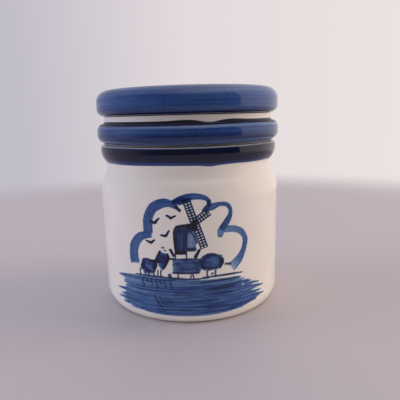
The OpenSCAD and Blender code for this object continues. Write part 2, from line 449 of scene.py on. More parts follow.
def turn_piece(name, points, run, angles, finish):
    """Turns a section about the Z axis and returns the piece as a plain mesh object."""
    template = bpy.data.meshes.new(name + "_section")
    template.from_pydata([(r * MM, 0, z * MM) for r, z in points], [], [])
    store(template, "run", run)
    ring = bpy.data.meshes.new(name + "_marks")
    ring.from_pydata([(a, 0, 0) for a in angles], [], [])
    builder = placed(name + "_section", template)
    mark_holder = placed(name + "_marks", ring)
    lathe = builder.modifiers.new("Turning", "NODES")
    lathe.node_group = turning
    values = {"Turn marks": mark_holder, "Weld distance": WELD, "Crease angle": CREASE, "Finish": finish}
    for socket in turning.interface.items_tree:
        if socket.name in values:
            lathe[socket.identifier] = values[socket.name]
    depsgraph = bpy.context.evaluated_depsgraph_get()
    mesh = bpy.data.meshes.new_from_object(builder.evaluated_get(depsgraph))
    mesh.name = name
    bpy.data.objects.remove(builder)
    bpy.data.objects.remove(mark_holder)
    triangles = sum(len(p.vertices) - 2 for p in mesh.polygons)
    print(name + ":", len(points), "rows,", len(angles), "columns,", triangles, "triangles")
    return placed(name, mesh)


print("welds within", WELD / MM, "mm, and keeps edges over", round(math.degrees(CREASE)), "degrees sharp")


# %% Reading a mesh
def values_of(mesh, name):
    """A float attribute of a mesh as an array."""
    out = np.zeros(len(mesh.vertices), np.float32)
    mesh.attributes[name].data.foreach_get("value", out)
    return out.astype(float)


def places_of(mesh):
    """A mesh's points as an array, in mm."""
    out = np.zeros(len(mesh.vertices) * 3, np.float32)
    mesh.vertices.foreach_get("co", out)
    return out.reshape(-1, 3).astype(float) / MM


def turn_of(mesh):
    """Each point's turn about the axis, from -pi to pi, with 0 at the front."""
    x, y, _ = places_of(mesh).T
    return np.arctan2(x, -y)


print("floor mesh read:", len(places_of(floor_mesh)), "points")

# %% [markdown]
# ## Glaze
# The body is earthenware dipped in white tin glaze, painted with cobalt on the raw glaze, and fired. In the
# kiln the cobalt sinks into the glaze and stains it: the more pigment, the less light comes back, red first
# and blue last. So the paint isn't a second layer that hides the white. It is a filter, and a Gamma node
# computes it: the filter's colour to the power of the amount of pigment. A second, blacker pigment draws the
# outlines. Both amounts are attributes on the mesh. The surface is glass: an IOR of 1.5, a low roughness,
# and a faint ripple of a few millimetres, which a dipped glaze always has.

# %% Glaze colours and patterns
GLAZE_WHITE = "#EAE6E0"
GLAZE_CREAM = "#E0DAD1"
THIN_GLAZE = "#D8CDBE"
COBALT_FILTER = "#395FA2"
OUTLINE_FILTER = "#2C3047"
BARE_CLAY = "#CDB79B"
CLAY_DARK = "#B89F82"
GLASS_IOR = 1.5
GLOSS_BEST = 0.05
GLOSS_WORN = 0.12
DULL_ROUGH = 0.35
CLAY_ROUGH = 0.85
RELIEF = 0.05 * MM
RELIEF_STRENGTH = 0.5

# Each pattern: its size in mm and its detail
PATTERNS = {
    # Glaze that is thicker in some places than in others shows as a creamier white
    "pooling": (14, 2),
    # Ground cobalt settles in grains. Real ones are finer, and this is as coarse as it needs to be to show
    "grains": (0.7, 3),
    # The wiped foot shows fired clay with a sandy grain
    "sand": (0.5, 4),
    # Handling leaves a fired gloss slightly uneven
    "wear": (6, 3),
    # Ripple of the melted glaze, from crest to crest
    "ripple": (4, 1),
}
print("glaze patterns:", ", ".join(PATTERNS))


# %% Glaze material
def glaze(name):
    """White tin glaze, stained by the cobalt and outline attributes, and wiped off where bare is 1."""
    made, tree = blank(name)
    place = add(tree, "ShaderNodeTexCoord", out="Object")
    noise = {}
    for pattern, (size, detail) in PATTERNS.items():
        spread = {"Vector": place, "Scale": 1 / (size * MM), "Detail": detail}
        noise[pattern] = add(tree, "ShaderNodeTexNoise", spread)
    amounts = {}
    for held in ("cobalt", "outline", "bare", "thin", "dull"):
        amounts[held] = add(tree, "ShaderNodeAttribute", out="Fac", attribute_name=held)

    # A grain holds up to a tenth more or less cobalt than its place has
    tenth = {"Value": noise["grains"], "From Min": 0.3, "From Max": 0.7, "To Min": 0.9, "To Max": 1.1}
    grain = add(tree, "ShaderNodeMapRange", tenth)
    cobalt = add(tree, "ShaderNodeMath", {0: amounts["cobalt"], 1: grain}, operation="MULTIPLY")
    stain = add(tree, "ShaderNodeGamma", {"Color": linear(COBALT_FILTER), "Gamma": cobalt})
    dark = add(tree, "ShaderNodeGamma", {"Color": linear(OUTLINE_FILTER), "Gamma": amounts["outline"]})
    two_clays = {"Factor": noise["sand"], "A": linear(BARE_CLAY), "B": linear(CLAY_DARK)}
    clay = add(tree, "ShaderNodeMix", two_clays, data_type="RGBA")

    # From the white up. Each layer: how much of it there is, its colour, and how it meets what is below
    colour = linear(GLAZE_WHITE)
    for amount, layer, way in (
        (noise["pooling"], linear(GLAZE_CREAM), "MIX"),
        (amounts["thin"], linear(THIN_GLAZE), "MIX"),
        (1.0, stain, "MULTIPLY"),
        (1.0, dark, "MULTIPLY"),
        (amounts["bare"], clay, "MIX"),
    ):
        both = {"Factor": amount, "A": colour, "B": layer}
        colour = add(tree, "ShaderNodeMix", both, data_type="RGBA", blend_type=way)

    worn = {"Value": noise["wear"], "To Min": GLOSS_BEST, "To Max": GLOSS_WORN}
    gloss = add(tree, "ShaderNodeMapRange", worn)
    for amount, roughest in ((amounts["dull"], DULL_ROUGH), (amounts["bare"], CLAY_ROUGH)):
        gloss = add(tree, "ShaderNodeMix", {"Factor": amount, "A": gloss, "B": roughest})

    two_reliefs = {"Factor": amounts["bare"], "A": noise["ripple"], "B": noise["sand"]}
    height = add(tree, "ShaderNodeMix", two_reliefs)
    uneven = {"Height": height, "Strength": RELIEF_STRENGTH, "Distance": RELIEF}
    relief = add(tree, "ShaderNodeBump", uneven)
    skin = {"Base Color": colour, "Roughness": gloss, "Normal": relief, "IOR": GLASS_IOR}
    add(tree, "ShaderNodeOutputMaterial", {"Surface": add(tree, "ShaderNodeBsdfPrincipled", skin)})
    return made


jar_glaze = glaze("Tin_glazed_earthenware_brush_painted")
lid_glaze = glaze("Tin_glazed_earthenware_banded")
print("glazes:", jar_glaze.name, lid_glaze.name)

# %% [markdown]
# ## Jar
# The jar was cast in a plaster mould, which leaves an even wall. Its outside is a chain of arcs that meet
# without a corner: bottom corner, leaning side, shoulder, neck and collar. The inside follows it one wall
# thickness away. The section starts under the foot, goes up the outside, over the rim and down the inside.
# Where the brush has been, the points lie 0.2 to 0.3 mm apart, so that a stroke keeps its edge.

# %% Jar sizes
JAR_H = 61.6
BODY_R = 34.65
BASE_R = 34.3
WALL = 4.0
FLOOR_TOP = 6.0
CORNER_R = 8.0
CORNER_Z = 6.2
INNER_CORNER_R = 5.0
SHOULDER_R = 14.0
NECK_R = 32.1
NECK_H = 1.2
NECK_COVE_R = 6.0
COLLAR_R = 34.0
COLLAR_BEAD_R = 6.4
COLLAR_COVE_R = 1.8
COLLAR_Z = 59.6
RIM_ROUND = 0.8
FOOT_W = 5.0
FOOT_RECESS = 1.2
RECESS_ROUND = 0.8
RECESS_STOP = 0.6

mouth_r = NECK_R - WALL
foot_out = BASE_R - CORNER_R + math.sqrt(CORNER_R**2 - CORNER_Z**2)
foot_in = foot_out - FOOT_W
recess_in = foot_in - FOOT_RECESS
shoulder_turn = math.acos(1 - (BODY_R - NECK_R) / (SHOULDER_R + NECK_COVE_R))
collar_turn = math.acos(1 - (COLLAR_R - NECK_R) / (COLLAR_BEAD_R + COLLAR_COVE_R))
neck_top = COLLAR_Z - (COLLAR_BEAD_R + COLLAR_COVE_R) * math.sin(collar_turn)
neck_low = neck_top - NECK_H
shoulder_z = neck_low - (SHOULDER_R + NECK_COVE_R) * math.sin(shoulder_turn)
bead_middle = COLLAR_R - COLLAR_BEAD_R
rim_low = JAR_H - RIM_ROUND
rim_reach = math.sqrt((COLLAR_BEAD_R - RIM_ROUND) ** 2 - (rim_low - COLLAR_Z) ** 2)
rim_r = bead_middle + rim_reach
rim_turn = math.degrees(math.atan2(rim_low - COLLAR_Z, rim_reach))
neck_span = [round(z, 2) for z in (neck_low, neck_top)]
print("jar: shoulder from", round(shoulder_z, 2), "mm, neck between", neck_span, "mm")

# %% Jar section
WATER_TOP = 25.0
PAINT_TOP = 47.4
FINE_STEP = 0.22
WATER_STEP = 0.33
COLLAR_FINE_TURN = 18

lean_out = math.degrees(shoulder_turn)
lean_collar = math.degrees(collar_turn)
collar_fine = COLLAR_FINE_TURN - lean_collar
inner_side = FLOOR_TOP + INNER_CORNER_R
inner_base = BASE_R - WALL


def side_at(z):
    """Radius of the jar's leaning side at a height."""
    return BASE_R + (BODY_R - BASE_R) * (z - CORNER_Z) / (shoulder_z - CORNER_Z)


paint_turn = math.degrees(math.asin((PAINT_TOP - shoulder_z) / SHOULDER_R))
corner_turn = math.degrees(math.asin(CORNER_Z / CORNER_R))
jar_points, jar_run, jar_spans = section(
    recess=straight((0, FOOT_RECESS), (recess_in - RECESS_STOP, FOOT_RECESS), 3),
    recess_corner=eased((0, FOOT_RECESS), (recess_in, FOOT_RECESS), (foot_in, 0), RECESS_ROUND, 0.2),
    foot=straight((foot_in, 0), (foot_out, 0), 0.6),
    corner=arc((BASE_R - CORNER_R, CORNER_Z), CORNER_R, -corner_turn, 0, 0.35),
    water=straight((BASE_R, CORNER_Z), (side_at(WATER_TOP), WATER_TOP), WATER_STEP),
    picture=straight((side_at(WATER_TOP), WATER_TOP), (BODY_R, shoulder_z), FINE_STEP),
    shoulder_low=arc((BODY_R - SHOULDER_R, shoulder_z), SHOULDER_R, 0, paint_turn, FINE_STEP),
    shoulder=arc((BODY_R - SHOULDER_R, shoulder_z), SHOULDER_R, paint_turn, lean_out, 0.5),
    neck_cove=arc((NECK_R + NECK_COVE_R, neck_low), NECK_COVE_R, 180 + lean_out, 180, 0.4),
    neck=straight((NECK_R, neck_low), (NECK_R, neck_top), 0.3),
    collar_cove=arc((NECK_R + COLLAR_COVE_R, neck_top), COLLAR_COVE_R, 180, 180 - lean_collar, 0.1),
    collar_low=arc((bead_middle, COLLAR_Z), COLLAR_BEAD_R, -lean_collar, collar_fine, 0.12),
    collar=arc((bead_middle, COLLAR_Z), COLLAR_BEAD_R, collar_fine, rim_turn, 0.35),
    rim_round=arc((rim_r, rim_low), RIM_ROUND, rim_turn, 90, 0.1),
    rim=straight((rim_r, JAR_H), (mouth_r + RIM_ROUND, JAR_H), 0.9),
    mouth_round=arc((mouth_r + RIM_ROUND, rim_low), RIM_ROUND, 90, 180, 0.2),
    mouth=straight((mouth_r, rim_low), (mouth_r, neck_low), 2),
    inner_cove=arc((NECK_R + NECK_COVE_R, neck_low), NECK_COVE_R + WALL, 180, 180 + lean_out, 1),
    inner_shoulder=arc((BODY_R - SHOULDER_R, shoulder_z), SHOULDER_R - WALL, lean_out, 0, 1),
    inside=straight((BODY_R - WALL, shoulder_z), (inner_base, inner_side), 6),
    inner_corner=arc((inner_base - INNER_CORNER_R, inner_side), INNER_CORNER_R, 0, -90, 0.8),
    floor=straight((inner_base - INNER_CORNER_R, FLOOR_TOP), (0, FLOOR_TOP), 4),
)
jar_columns = turn_marks(front_half=35, front_step=0.36, back_step=2.4, close_half=7, close_step=0.18)
jar = turn_piece("glazed_jar", jar_points, jar_run, jar_columns, jar_glaze)


# %% Check that faces point outwards
def volume_of(mesh):
    """Volume inside a closed mesh, in mm3. It is negative where the faces point inwards."""
    mesh.calc_loop_triangles()
    corners = np.zeros(len(mesh.loop_triangles) * 3, np.int32)
    mesh.loop_triangles.foreach_get("vertices", corners)
    a, b, c = places_of(mesh)[corners.reshape(-1, 3)].transpose(1, 0, 2)
    return float(np.einsum("ij,ij->i", a, np.cross(b, c)).sum() / 6)


print("jar holds", round(volume_of(jar.data)), "mm3 of clay")

# %% [markdown]
# ## Brushwork
# The painter loads a soft pointed brush with cobalt in water and lays each mark in one pull. A mark shows
# the hairs, runs dry towards its end, and dries darkest at its wet edge. A painted picture could be
# wrapped round the jar, but it would be fixed at one size. So each mark is computed: a path in millimetres
# across and up the jar's side, with a width at each point, gives the pigment at every mesh point near it.


# %% Paths and soft noise
def soft_step(share):
    """Rises from 0 to 1 without a corner at either end."""
    share = np.clip(share, 0, 1)
    return share * share * (3 - 2 * share)


def bell(offset, half):
    """1 in the middle, and softly down to 0 on either side."""
    return np.exp(-((offset / half) ** 2))


def hills(u, v, seed, size=64):
    """Soft random hills from 0 to 1, one for each step of u and v, that repeat after size steps."""
    tops = np.random.default_rng(seed).random((size, size))
    iu = np.floor(u).astype(int)
    iv = np.floor(v).astype(int)
    fu = soft_step(u - iu)
    fv = soft_step(v - iv)
    near = tops[iu % size, iv % size] * (1 - fu) + tops[(iu + 1) % size, iv % size] * fu
    far = tops[iu % size, (iv + 1) % size] * (1 - fu) + tops[(iu + 1) % size, (iv + 1) % size] * fu
    return near * (1 - fv) + far * fv


def brush_path(points, step=0.4):
    """A smooth path through points of (across, up, width), with a point about every step."""
    marks = np.array(points, float)
    ends = np.vstack([2 * marks[0] - marks[1], marks, 2 * marks[-1] - marks[-2]])
    stretches = []
    for a, b, c, d in zip(ends, ends[1:], ends[2:], ends[3:]):
        count = max(2, int(math.dist(b[:2], c[:2]) / step))
        t = np.arange(count)[:, None] / count
        bend = (a - 2.5 * b + 2 * c - d / 2) * t**2 + (1.5 * (b - c) + (d - a) / 2) * t**3
        stretches.append(b + (c - a) * t / 2 + bend)
    return np.vstack([*stretches, marks[-1:]])


def along_path(path, x, y):
    """For each point: distance from the path, length along it, side of it and half width there.

    The whole length comes last.
    """
    distance = np.full(x.shape, np.inf)
    along = np.zeros(x.shape)
    side = np.zeros(x.shape)
    width = np.ones(x.shape)
    length = 0.0
    for (x0, y0, w0), (x1, y1, w1) in zip(path, path[1:]):
        dx = x1 - x0
        dy = y1 - y0
        size = math.hypot(dx, dy)
        t = np.clip(((x - x0) * dx + (y - y0) * dy) / size**2, 0, 1)
        gap = np.hypot(x - x0 - t * dx, y - y0 - t * dy)
        near = gap < distance
        distance = np.where(near, gap, distance)
        along = np.where(near, length + t * size, along)
        side = np.where(near, np.sign((y - y0) * dx - (x - x0) * dy), side)
        width = np.where(near, w0 + t * (w1 - w0), width)
        length += size
    return distance, along, side, width / 2, length


print("a straight pull of 10 mm:", len(brush_path([(0, 0, 1), (10, 0, 1)])), "points")


# %% Brush
class Ware:
    """The raw glaze that is painted on: its points in mm across and up, and the pigment that each holds."""

    MOST = {"cobalt": 1.9, "outline": 1.5}
    COBALT_IN_OUTLINE = 1.2
    ADDED_AT_CROSSING = 0.25
    # How far a dry end fades and a wet edge pools, and the least half width, in mm
    DRY_EDGE = 0.8
    WET_EDGE = 0.35
    THINNEST = 0.05
    # Share of its width by which a mark's edge wavers
    WOBBLE = 0.12
    # Bundles of hairs from a mark's middle to its edge, and how often they change in a mm
    HAIRS = (4, 0.12)
    FINE_HAIRS = (11, 0.25)

    def __init__(self, across, up):
        self.across = across
        self.up = up
        self.pigment = {kind: np.zeros(across.shape) for kind in self.MOST}

    def lay_on(self, kind, where, amount):
        """Adds pigment. Where strokes cross, the second one only darkens the first a little.

        The dark pigment is ground with cobalt, so a thin line of it dries blue-black.
        """
        old = self.pigment[kind][where]
        both = np.maximum(old, amount) + self.ADDED_AT_CROSSING * np.minimum(old, amount)
        self.pigment[kind][where] = np.minimum(both, np.maximum(self.MOST[kind], old))
        if kind == "outline":
            self.lay_on("cobalt", where, self.COBALT_IN_OUTLINE * amount)

    def brush(
        self, points, load, kind="cobalt", dry=(0, 0), hair=0.35, pool=0.25, soft=0.3, fade=(1, 1), seed=1
    ):
        """One pull of the brush. dry is how far the ends break up, fade the share of the load along it."""
        path = brush_path(points)
        reach = path[:, 2].max() / 2 + 1
        low = path.min(axis=0) - reach
        high = path.max(axis=0) + reach
        where = (self.across > low[0]) & (self.across < high[0]) & (self.up > low[1]) & (self.up < high[1])
        distance, along, side, half, length = along_path(path, self.across[where], self.up[where])
        over = side * distance / np.maximum(half, self.THINNEST)
        hairs = hills(over * self.HAIRS[0] + 20, along * self.HAIRS[1], seed)
        fine = hills(over * self.FINE_HAIRS[0] + 40, along * self.FINE_HAIRS[1], seed + 1)
        wobble = (hills(along * 0.6, side * 3 + 9, seed + 2) - 0.5) * self.WOBBLE
        inside = half * (1 + wobble) - distance
        cover = soft_step(inside / soft + 0.5)
        for broken, from_end in zip(dry, (along, length - along)):
            if broken:
                cover = cover * soft_step((from_end - broken * (hairs + fine) / 2) / self.DRY_EDGE)
        tone = load * np.interp(along / length, np.linspace(0, 1, len(fade)), fade)
        tone = tone * (1 + hair * (1.2 * hairs + 0.8 * fine - 1))
        tone = tone + pool * load * bell(np.maximum(inside, 0), self.WET_EDGE)
        self.lay_on(kind, where, cover * tone)


# The painted front, in radians either way
FRONT_TURN = 1.2
jar_z = places_of(jar.data)[:, 2]
jar_along = values_of(jar.data, "run")
jar_turn = turn_of(jar.data)
outside = (jar_along >= jar_spans["corner"][0]) & (jar_along <= jar_spans["shoulder"][1])
front = outside & (abs(jar_turn) < FRONT_TURN)
side_ware = Ware(jar_turn[front] * BODY_R, jar_z[front])
print("front of the jar:", int(front.sum()), "points to paint on")

# %% [markdown]
# ## Painted landscape
# A mill by the water under one big cloud is a stock subject of blue and white pottery. It is painted here
# from the back of the scene to the front, as on the bench: first the broad cloud and the water in thin
# cobalt, then trees and mill in a fuller load, and last the thin lines in the dark pigment.

# %% Cloud
# Each pull: its points, the loads along it, and how far its two ends break up
CLOUD = (
    (
        [(-21, 20.9, 4.2), (-21.5, 25, 3.7), (-20.7, 28.3, 3.7), (-18.5, 31, 3), (-15.8, 32.2, 2.4),
         (-12.9, 32.2, 1.6)],
        (0.95, 1, 1),
        (0.6, 0.8),
    ),
    (
        [(-14.8, 32.3, 3.3), (-15, 35, 3.4), (-14.5, 38.5, 3.4), (-12.7, 41.6, 3.3), (-10, 43.2, 3.2),
         (-7, 43.4, 2.3), (-4.6, 42.1, 1.4)],
        (1.05, 1, 1),
        (0.5, 0),
    ),
    (
        [(-5.3, 43.8, 1.6), (-3, 44.4, 2.8), (-0.6, 45.3, 2.4), (2, 45.6, 1.9), (4.5, 45.2, 1.6),
         (6, 44.2, 1.3), (6.5, 42.6, 1.5)],
        (1.35, 1.2, 0.85, 0.85, 1.1),
        (0, 0),
    ),
    (
        [(4.4, 40.7, 0.9), (5.8, 41.5, 2.2), (7.6, 41.9, 2.2), (10, 42.6, 1.4), (12.6, 42.2, 1.3),
         (13.9, 40.6, 1.3), (13.9, 38.8, 1.5), (12.9, 36.8, 2), (11.1, 34.5, 2.2)],
        (0.85, 0.95, 1.15, 1.05),
        (0, 0),
    ),
    (
        [(10.2, 32.1, 1.9), (10.6, 33.7, 2.4), (13, 33.8, 2.3), (16, 33.3, 2.1), (18.6, 31.9, 2),
         (20, 29.4, 2), (19.9, 27.5, 2), (19, 25, 2.2), (17.2, 22.3, 3), (13.6, 19.6, 3.7)],
        (0.6, 0.62, 0.8, 0.9, 0.8, 0.25),
        (0, 0.8),
    ),
)
for i, (pull, loads, ends) in enumerate(CLOUD):
    side_ware.brush(pull, 1.0, hair=0.3, pool=0.3, dry=ends, fade=loads, seed=10 + 3 * i)
print("cloud of", len(CLOUD), "pulls")


# %% Dark accents and birds
def draw(lines, seed, kind="outline", step=1, **how):
    """Strokes in one pigment, the dark one unless it is named. Each line holds its load and its points."""
    for i, (load, *points) in enumerate(lines):
        side_ware.brush(points, load, kind, seed=seed + step * i, **how)


CLOUD_ACCENTS = (
    (0.7, (-4.7, 42.2, 0.7), (-3.4, 41, 0.9)),
    (0.15, (-5, 43.9, 1.2), (-2.4, 44.3, 2)),
    (0.22, (6.6, 44, 0.8), (6, 42.2, 1.2), (5.4, 40.8, 1.6)),
    (0.5, (11.9, 21.5, 0.5), (13.9, 21.3, 0.7)),
)
BIRDS = (
    (0.8, (-8, 39.3, 0.5), (-7.2, 39, 0.6), (-6.5, 38.4, 0.8), (-5.8, 38.8, 0.6), (-4.9, 39.1, 0.4)),
    (0.8, (-13.8, 37.3, 0.5), (-12.3, 36.6, 0.9), (-11.5, 37.4, 0.7), (-10.7, 38.2, 0.4)),
    (0.8, (-10.2, 32.5, 0.4), (-8.5, 32.2, 0.8), (-7.9, 33.1, 0.6), (-7.3, 34, 0.4)),
    (0.8, (-15.7, 30.2, 0.4), (-14, 29.6, 0.8), (-13.3, 30.1, 0.6), (-12.6, 30.6, 0.4)),
    (0.4, (-9.9, 28.1, 0.5), (-9.5, 28, 0.5)),
    (0.35, (-9.2, 27.1, 0.4), (-8.8, 27, 0.4)),
)
draw(CLOUD_ACCENTS, 40, hair=0.3)
draw(BIRDS, 50, soft=0.25)
print("accents:", len(CLOUD_ACCENTS), "birds and specks:", len(BIRDS))

# %% Water
# Each row: height, left end, right end, width and load
WATER = (
    (16.5, -28, -1, 1.0, 0.7),
    (15.7, -31.5, 20.5, 1.3, 0.78),
    (14.7, -30, 22, 1.4, 0.55),
    (13.7, -30, 24.5, 1.4, 0.85),
    (12.7, -29, 24, 1.5, 0.9),
    (11.7, -29, 27.5, 1.3, 0.88),
    (10.6, -31.5, 29, 1.3, 0.85),
    (9.5, -30, 27, 1.4, 0.88),
    (8.3, -30.5, 28.5, 1.4, 0.9),
    (7.1, -31.5, 30, 1.3, 0.88),
    (6, -30, 29, 1.3, 0.9),
    (4.9, -26.5, 22.5, 1.3, 0.85),
)
WATER_FADE = (0.78, 0.98, 1.1, 0.95)
FLAT_BRUSH = {"hair": 0.6, "pool": 0.1, "soft": 0.4}
for i, (z, left, right_end, width, load) in enumerate(WATER):
    pull = [(left, z - 0.6, width / 2), (0.75 * left, z, width), (0.7 * right_end, z, width)]
    pull.append((right_end, z - 0.5, width / 2))
    side_ware.brush(pull, load, dry=(5, 6), fade=WATER_FADE, seed=60 + 3 * i, **FLAT_BRUSH)

# The last pull follows the round of the foot
LAST_PULL = (
    (-25, 5.7, 0.6), (-16, 4.5, 1.3), (-4, 4.1, 1.5), (8, 4.2, 1.5), (18, 5, 1.3), (26.5, 6.4, 0.6),
)
side_ware.brush(LAST_PULL, 0.88, dry=(2, 2), seed=99, **FLAT_BRUSH)
print("water of", len(WATER) + 1, "pulls")

# %% Tips and ripples of the water
# A full brush leaves pointed tips where a pull starts or ends. Each: the tip, and where it joins the water
TIPS = (
    ((-30.6, 15.5), (-24, 16.2)),
    ((-31.8, 10), (-25, 10.9)),
    ((-29.6, 8.4), (-25, 8.8)),
    ((-31.4, 7), (-25, 7.5)),
    ((-28.8, 5.4), (-23, 5.8)),
    ((23, 13.4), (17, 14.2)),
    ((27.4, 11.9), (20, 12.9)),
    ((30, 10), (23, 11.1)),
    ((28.6, 8.4), (22, 9)),
    ((30.4, 6.8), (23, 7.5)),
)
for i, ((x, z), (x_in, z_in)) in enumerate(TIPS):
    pull = [(x, z, 0.2), ((x + x_in) / 2, (z + z_in) / 2, 0.8), (x_in, z_in, 1)]
    side_ware.brush(pull, 1.1, hair=0.3, pool=0.1, fade=(1, 0.9, 0.5), seed=500 + 3 * i)

# Each ripple: load, left end, right end, height and width
RIPPLES = (
    (0.4, 2, 19, 15.8, 0.6),
    (0.3, 6, 20, 13.8, 0.5),
    (0.4, 3, 18, 12.9, 0.6),
    (0.35, 6, 17, 11.1, 0.5),
    (0.2, -3, 12, 8.9, 0.6),
    (0.2, 0, 15, 6.6, 0.5),
    (0.2, -26, -14, 10.2, 0.5),
    (0.2, -28, -16, 7.2, 0.5),
    (0.15, -22, -10, 12.1, 0.5),
    (0.2, -14, 4, 5.5, 0.5),
    (0.15, -8, 3, 11.6, 1.6),
)
for i, (load, left, right_end, z, width) in enumerate(RIPPLES):
    pull = [(left, z - 0.1, 0.2), ((left + right_end) / 2, z + 0.1, width), (right_end, z, 0.25)]
    side_ware.brush(pull, load, "outline", dry=(2, 3), hair=0.5, soft=0.4, seed=100 + 3 * i)
print("water with", len(TIPS), "tips and", len(RIPPLES), "ripples")


# %% Trees and hedge
def dabs(middle, spread, count, size, load, seed, kind="cobalt", hollow=0.0):
    """Many short presses of the brush's tip over an oval or its rim, as leaves are painted."""
    rng = np.random.default_rng(seed)
    turns = rng.random(count) * 2 * np.pi
    out = np.sqrt(hollow**2 + (1 - hollow**2) * rng.random(count))
    for i in range(count):
        x = middle[0] + spread[0] * out[i] * math.cos(turns[i])
        y = middle[1] + spread[1] * out[i] * math.sin(turns[i])
        lean = rng.uniform(-0.5, 0.5)
        tone = load * rng.uniform(0.75, 1.15)
        width = size * rng.uniform(0.7, 1.2)
        dx = 0.4 * width
        dy = 0.5 * lean * width
        press = [(x - dx, y - dy, width), (x + dx, y + dy, width)]
        side_ware.brush(press, tone, kind, hair=0.2, pool=0.1, soft=0.35, seed=seed + i)


# Each wash of leaves: load and points
LEAVES = (
    (0.85, (-17.2, 22.9, 1.5), (-15.6, 22.6, 1.9), (-13.2, 22.6, 1.7)),
    (0.7, (-17.9, 21, 1.7), (-15.2, 21.3, 2), (-13.2, 21, 1.9)),
    (0.7, (-17.6, 20, 1.5), (-15.4, 19.8, 1.9), (-13.7, 19.8, 1.6)),
    (0.65, (-17, 18.9, 1.2), (-15.6, 18.8, 1.4), (-14.4, 18.9, 1.2)),
    (1.1, (-12.6, 22.9, 1.2), (-11.4, 23.7, 1.8), (-10, 24, 2.4), (-8.5, 24.2, 1.4)),
    (1.1, (-11, 26.3, 0.9), (-10.2, 25.3, 2.2), (-9, 24.8, 2)),
    (1.1, (-9.6, 23.2, 2.4), (-9.8, 21.8, 1.9), (-10.1, 20.7, 1.2)),
    (0.9, (-11.7, 23.7, 1.4), (-11.1, 22.6, 1.4), (-10.6, 21.5, 1.2)),
    (0.8, (5.2, 22.4, 4.8), (7, 22.8, 6), (8.8, 22.6, 4.6)),
    (0.75, (2.9, 23.3, 1.2), (4.6, 24.5, 1.5), (6.2, 25, 1.6)),
)
# Each row of the hedge: height and right end
HEDGE_ROWS = ((23.2, 4), (22.2, 4), (21.1, 4), (20, 2.4))
HEDGE_LEFT = -5.7
HEDGE_MIDDLE = -1
# Each group of dabs: middle, half size, count, width of a dab, load and seed
LEAF_DABS = (
    ((-15.2, 21.2), (2.4, 1.9), 18, 1, 0.5, 200),
    ((-10.2, 23.8), (1.6, 1.8), 12, 1, 0.45, 220),
    ((-1, 21.7), (5, 2.1), 38, 1, 0.4, 240),
    ((7.1, 22.7), (3.4, 2.4), 34, 1.1, 0.42, 310),
)

draw(LEAVES, 260, "cobalt", 3, hair=0.3, pool=0.15)
for i, (z, right_end) in enumerate(HEDGE_ROWS):
    row = [(HEDGE_LEFT, z, 1.5), (HEDGE_MIDDLE, z + 0.1, 1.7), (right_end, z, 1.5)]
    side_ware.brush(row, 0.68, pool=0.1, seed=290 + 3 * i)
for group in LEAF_DABS:
    dabs(*group)
print("leaves: most cobalt so far", round(side_ware.pigment["cobalt"].max(), 2))

# %% Dark edges of the leaves
# Each group of dabs as above, then the pigment and how hollow the group is
EDGE_DABS = (
    ((-15.3, 21.2), (2.6, 2.1), 22, 0.8, 0.3, 345, "outline", 0.75),
    ((7.1, 22.8), (3.8, 2.9), 40, 0.8, 0.3, 370, "outline", 0.75),
    ((-1, 21.7), (5.2, 2.3), 44, 0.8, 0.11, 410, "outline", 0.3),
)
for group in EDGE_DABS:
    dabs(*group)
TREE_LINES = (
    (0.55, (-18.2, 20, 0.5), (-17.9, 21.2, 0.9), (-17.6, 22.4, 0.6), (-17.2, 23.3, 0.6)),
    (0.5, (-17.2, 23.3, 0.7), (-16, 23.5, 0.5), (-15, 23.2, 0.8), (-13.4, 23.1, 0.8)),
    (0.75, (-12.9, 22.8, 1.2), (-12.6, 21.6, 1), (-13, 20.4, 0.8), (-13.4, 19.2, 0.5)),
    (0.75, (-13.4, 22.9, 1), (-12.2, 23.2, 1.1), (-11.2, 23.2, 0.9)),
    (0.8, (-12.4, 23.6, 0.6), (-11.6, 25.2, 0.6), (-10.8, 26.7, 0.5)),
    (0.8, (-8.3, 25.7, 0.8), (-7.9, 24.5, 0.9), (-8.5, 22.8, 0.8), (-9.6, 20.8, 0.6)),
    (0.1, (-11.4, 24, 1.6), (-9.8, 24.3, 2.4), (-9.6, 22.4, 1.8)),
    (0.6, (-6.4, 19.3, 0.4), (-1, 19.1, 0.5), (2.6, 19.3, 0.4)),
    (0.45, (-6.2, 24, 0.4), (-1, 24.1, 0.5), (3, 24, 0.4)),
    (0.8, (10.8, 23.6, 0.6), (10.9, 22.2, 0.7), (10, 20.6, 0.6)),
    (0.7, (3.6, 21.6, 0.6), (4.4, 20.4, 0.6)),
)
draw(TREE_LINES, 460, hair=0.3)
print("edges of leaves:", len(EDGE_DABS), "groups of dabs and", len(TREE_LINES), "lines")

# %% Trunks and small things on the shore
TRUNKS = (-18.9, -16.9, -15.5, -13.4, -11.9, -10.7, -4.6, 5.4, 8.3)
TRUNK_TOP = 19.8
TRUNK_BEND = 18.6
TRUNK_FOOT = 17.4
for i, x in enumerate(TRUNKS):
    trunk = [(x, TRUNK_TOP, 0.45), (x - 0.1, TRUNK_BEND, 0.35), (x + 0.1, TRUNK_FOOT, 0.45)]
    side_ware.brush(trunk, 0.55, "outline", soft=0.2, seed=390 + i)
SMALL_THINGS = (
    (0.45, (-7.9, 17.6, 0.7), (-7.6, 18.5, 0.9), (-7.2, 17.6, 0.7)),
    (0.5, (-0.4, 17.4, 0.35), (-0.1, 18.4, 0.35), (0.5, 18.4, 0.35), (0.7, 17.4, 0.35)),
    (0.4, (7, 18.6, 0.5), (7.4, 18.6, 0.5)),
)
draw(SMALL_THINGS, 460, soft=0.2)
print("trunks:", len(TRUNKS), "small things:", len(SMALL_THINGS))

